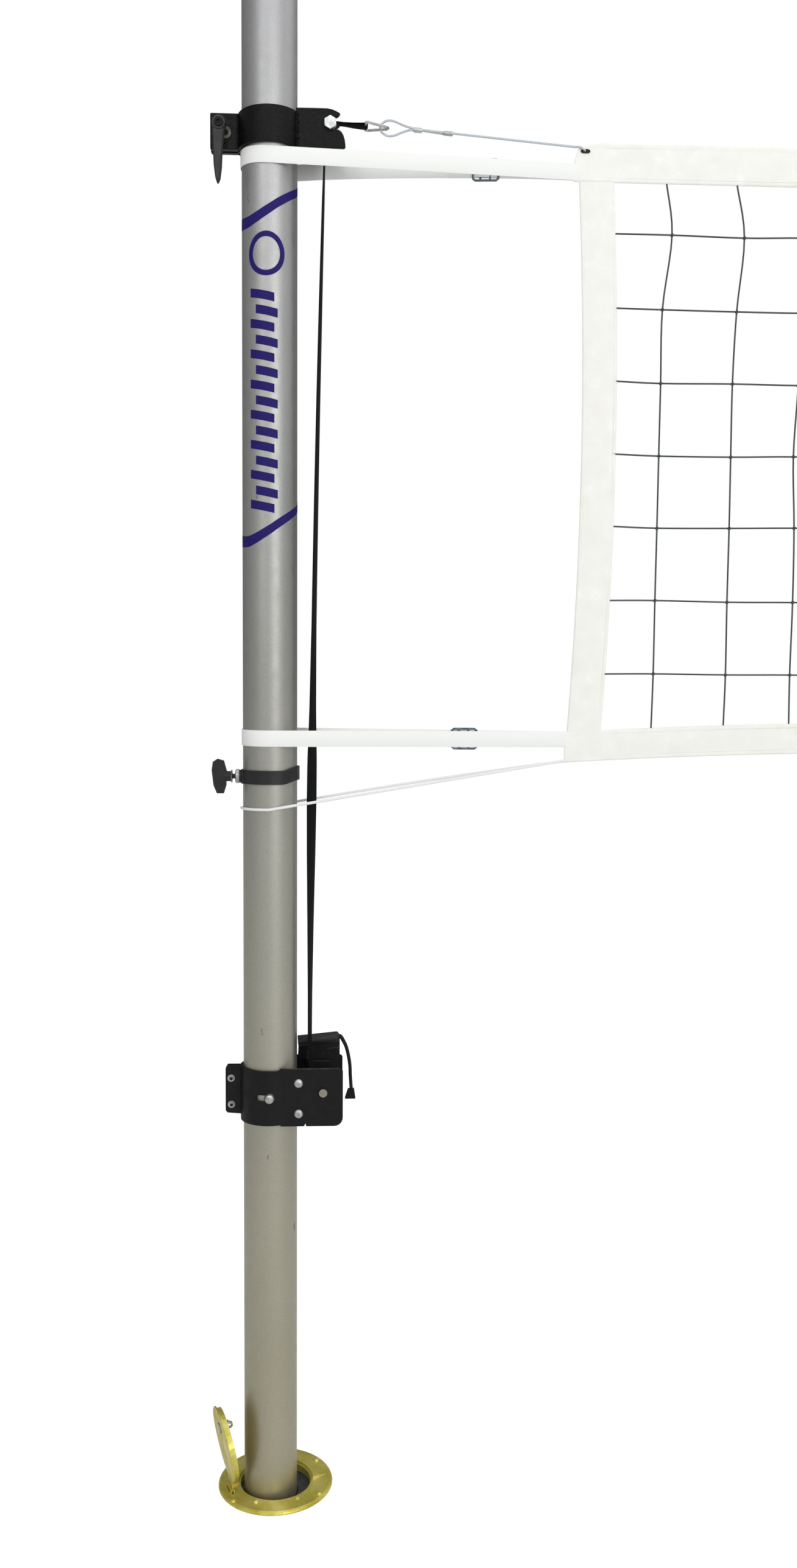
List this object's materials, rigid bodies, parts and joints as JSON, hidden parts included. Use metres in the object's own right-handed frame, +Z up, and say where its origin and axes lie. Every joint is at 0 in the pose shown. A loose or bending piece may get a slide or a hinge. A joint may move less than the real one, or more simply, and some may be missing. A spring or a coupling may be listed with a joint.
{
  "type": "volleyball net on poles",
  "caption": "Indoor volleyball net on aluminium poles in floor sleeves, with clamped sliding collars, a strap winch, tensioning cable, side straps and bottom ropes.",
  "frame": {"origin": "midway between the two poles, on the playing floor's surface", "axes": "+X along the net, away from the pole that carries the winch; +Z up; -Y is the front, the side of the winch's screw heads"},
  "size_m": [10.7004, 0.209, 2.855],
  "materials": {
    "aluminium": "satin",
    "black_coat": "textured powder coat",
    "grey_plastic": "matte",
    "black_plastic": "satin",
    "zinc": "bright",
    "bare_steel": "satin",
    "brass": "cast, satin",
    "galvanised": "dull galvanised",
    "rubber": "matte",
    "white_vinyl": "coated",
    "white_webbing": "woven",
    "black_webbing": "woven",
    "net_cord": "knotted cord"
  },
  "bodies": {
    "floor_sockets": {"left_floor_sleeve": "galvanised", "left_floor_plate": "brass", "left_lid_hinge_pin": "bare_steel", "right_floor_sleeve": "galvanised", "right_floor_plate": "brass", "right_lid_hinge_pin": "bare_steel"},
    "left_lid": {"left_lid": "brass"},
    "left_lid_lock": {"left_lid_lock": "zinc"},
    "right_lid": {"right_lid": "brass"},
    "right_lid_lock": {"right_lid_lock": "zinc"},
    "left_pole": {"left_pole": "aluminium", "left_pole_cap": "rubber", "left_pole_foot": "rubber", "winch_front_bracket": "black_coat", "winch_rear_bracket": "black_coat", "winch_slot_bolt": "zinc", "tension_strap": "black_webbing"},
    "winch_drum": {"winch_drum": "bare_steel", "ratchet_wheel": "bare_steel", "drum_axle": "bare_steel", "strap_winding": "black_webbing"},
    "winch_pawl": {"winch_pawl": "bare_steel"},
    "winch_handle": {"winch_handle": "black_coat", "handle_grip": "black_plastic", "handle_bail": "black_coat"},
    "net": {"left_top_collar": "black_coat", "left_head_bolt": "zinc", "left_lower_collar": "black_coat", "strap_end": "black_webbing", "snap_hook": "zinc", "left_net_cable": "zinc", "right_net_cable": "zinc", "top_tape": "white_vinyl", "bottom_tape": "white_vinyl", "left_side_tape": "white_vinyl", "right_side_tape": "white_vinyl", "net_mesh": "net_cord", "left_upper_strap": "white_webbing", "right_upper_strap": "white_webbing", "left_lower_strap": "white_webbing", "right_lower_strap": "white_webbing", "left_upper_buckle": "zinc", "right_upper_buckle": "zinc", "left_lower_buckle": "zinc", "right_lower_buckle": "zinc", "left_bottom_rope": "white_webbing", "right_bottom_rope": "white_webbing"},
    "strap_roller": {"strap_roller": "bare_steel"},
    "left_clamp_lever": {"left_clamp_lever": "grey_plastic", "left_clamp_screw": "zinc"},
    "left_clamp_knob": {"left_clamp_knob": "black_plastic"},
    "right_pole": {"right_pole": "aluminium", "right_pole_cap": "rubber", "right_pole_foot": "rubber"},
    "right_collars": {"right_top_collar": "black_coat", "right_head_bolt": "zinc", "right_lower_collar": "black_coat"},
    "right_clamp_lever": {"right_clamp_lever": "grey_plastic", "right_clamp_screw": "zinc"},
    "right_clamp_knob": {"right_clamp_knob": "black_plastic"}
  },
  "joints": [
    {"name": "left_lid_hinge", "type": "hinge", "parent": "floor_sockets", "child": "left_lid", "pos_m": [-5.31713, -0.01691, 0.0068], "axis": [-0.309, 0.9511, 0], "range_deg": [0, 8]},
    {"name": "left_lid_lock_turn", "type": "hinge", "parent": "left_lid", "child": "left_lid_lock", "pos_m": [-5.33514, -0.02276, 0.11414], "axis": [0.9366, 0.3043, 0.1736], "range_deg": [0, 90]},
    {"name": "right_lid_hinge", "type": "hinge", "parent": "floor_sockets", "child": "right_lid", "pos_m": [5.31713, 0.01691, 0.0068], "axis": [0.309, -0.9511, 0], "range_deg": [0, 8]},
    {"name": "right_lid_lock_turn", "type": "hinge", "parent": "right_lid", "child": "right_lid_lock", "pos_m": [5.33514, 0.02276, 0.11414], "axis": [-0.9366, -0.3043, 0.1736], "range_deg": [0, 90]},
    {"name": "left_pole_lift", "type": "slide", "parent": "floor_sockets", "child": "left_pole", "axis": [0, 0, 1], "range_m": [0, 0.28]},
    {"name": "right_pole_lift", "type": "slide", "parent": "floor_sockets", "child": "right_pole", "axis": [0, 0, 1], "range_m": [0, 0.28]},
    {"name": "net_height", "type": "slide", "parent": "left_pole", "child": "net", "axis": [0, 0, 1], "range_m": [-0.24, 0.19], "deforming": ["tension_strap"]},
    {"name": "right_collar_height", "type": "slide", "parent": "right_pole", "child": "right_collars", "axis": [0, 0, 1], "range_m": [-0.24, 0.19]},
    {"name": "left_lever_turn", "type": "hinge", "parent": "net", "child": "left_clamp_lever", "pos_m": [-5.329, 0, 2.2465], "axis": [0, 1, 0], "range_deg": [0, 150]},
    {"name": "right_lever_turn", "type": "hinge", "parent": "right_collars", "child": "right_clamp_lever", "pos_m": [5.329, 0, 2.2465], "axis": [0, -1, 0], "range_deg": [0, 150]},
    {"name": "left_knob_turn", "type": "hinge", "parent": "net", "child": "left_clamp_knob", "pos_m": [-5.322, 0, 1.2125], "axis": [1, 0, 0], "continuous": true},
    {"name": "right_knob_turn", "type": "hinge", "parent": "right_collars", "child": "right_clamp_knob", "pos_m": [5.322, 0, 1.2125], "axis": [-1, 0, 0], "continuous": true},
    {"name": "roller_turn", "type": "hinge", "parent": "net", "child": "strap_roller", "pos_m": [-5.153, 0, 2.25], "axis": [0, 1, 0], "continuous": true},
    {"name": "drum_turn", "type": "hinge", "parent": "left_pole", "child": "winch_drum", "pos_m": [-5.1616, 0, 0.6942], "axis": [0, 1, 0], "continuous": true},
    {"name": "handle_swing", "type": "hinge", "parent": "left_pole", "child": "winch_handle", "pos_m": [-5.1616, 0, 0.6942], "axis": [0, 1, 0], "range_deg": [0, 75]},
    {"name": "pawl_turn", "type": "hinge", "parent": "left_pole", "child": "winch_pawl", "pos_m": [-5.1366, 0, 0.7222], "axis": [0, 1, 0], "range_deg": [0, 15]}
  ],
  "couplings": [
    {"joint": "right_pole_lift", "follows": "left_pole_lift", "ratio": 1},
    {"joint": "right_collar_height", "follows": "net_height", "ratio": 1}
  ]
}
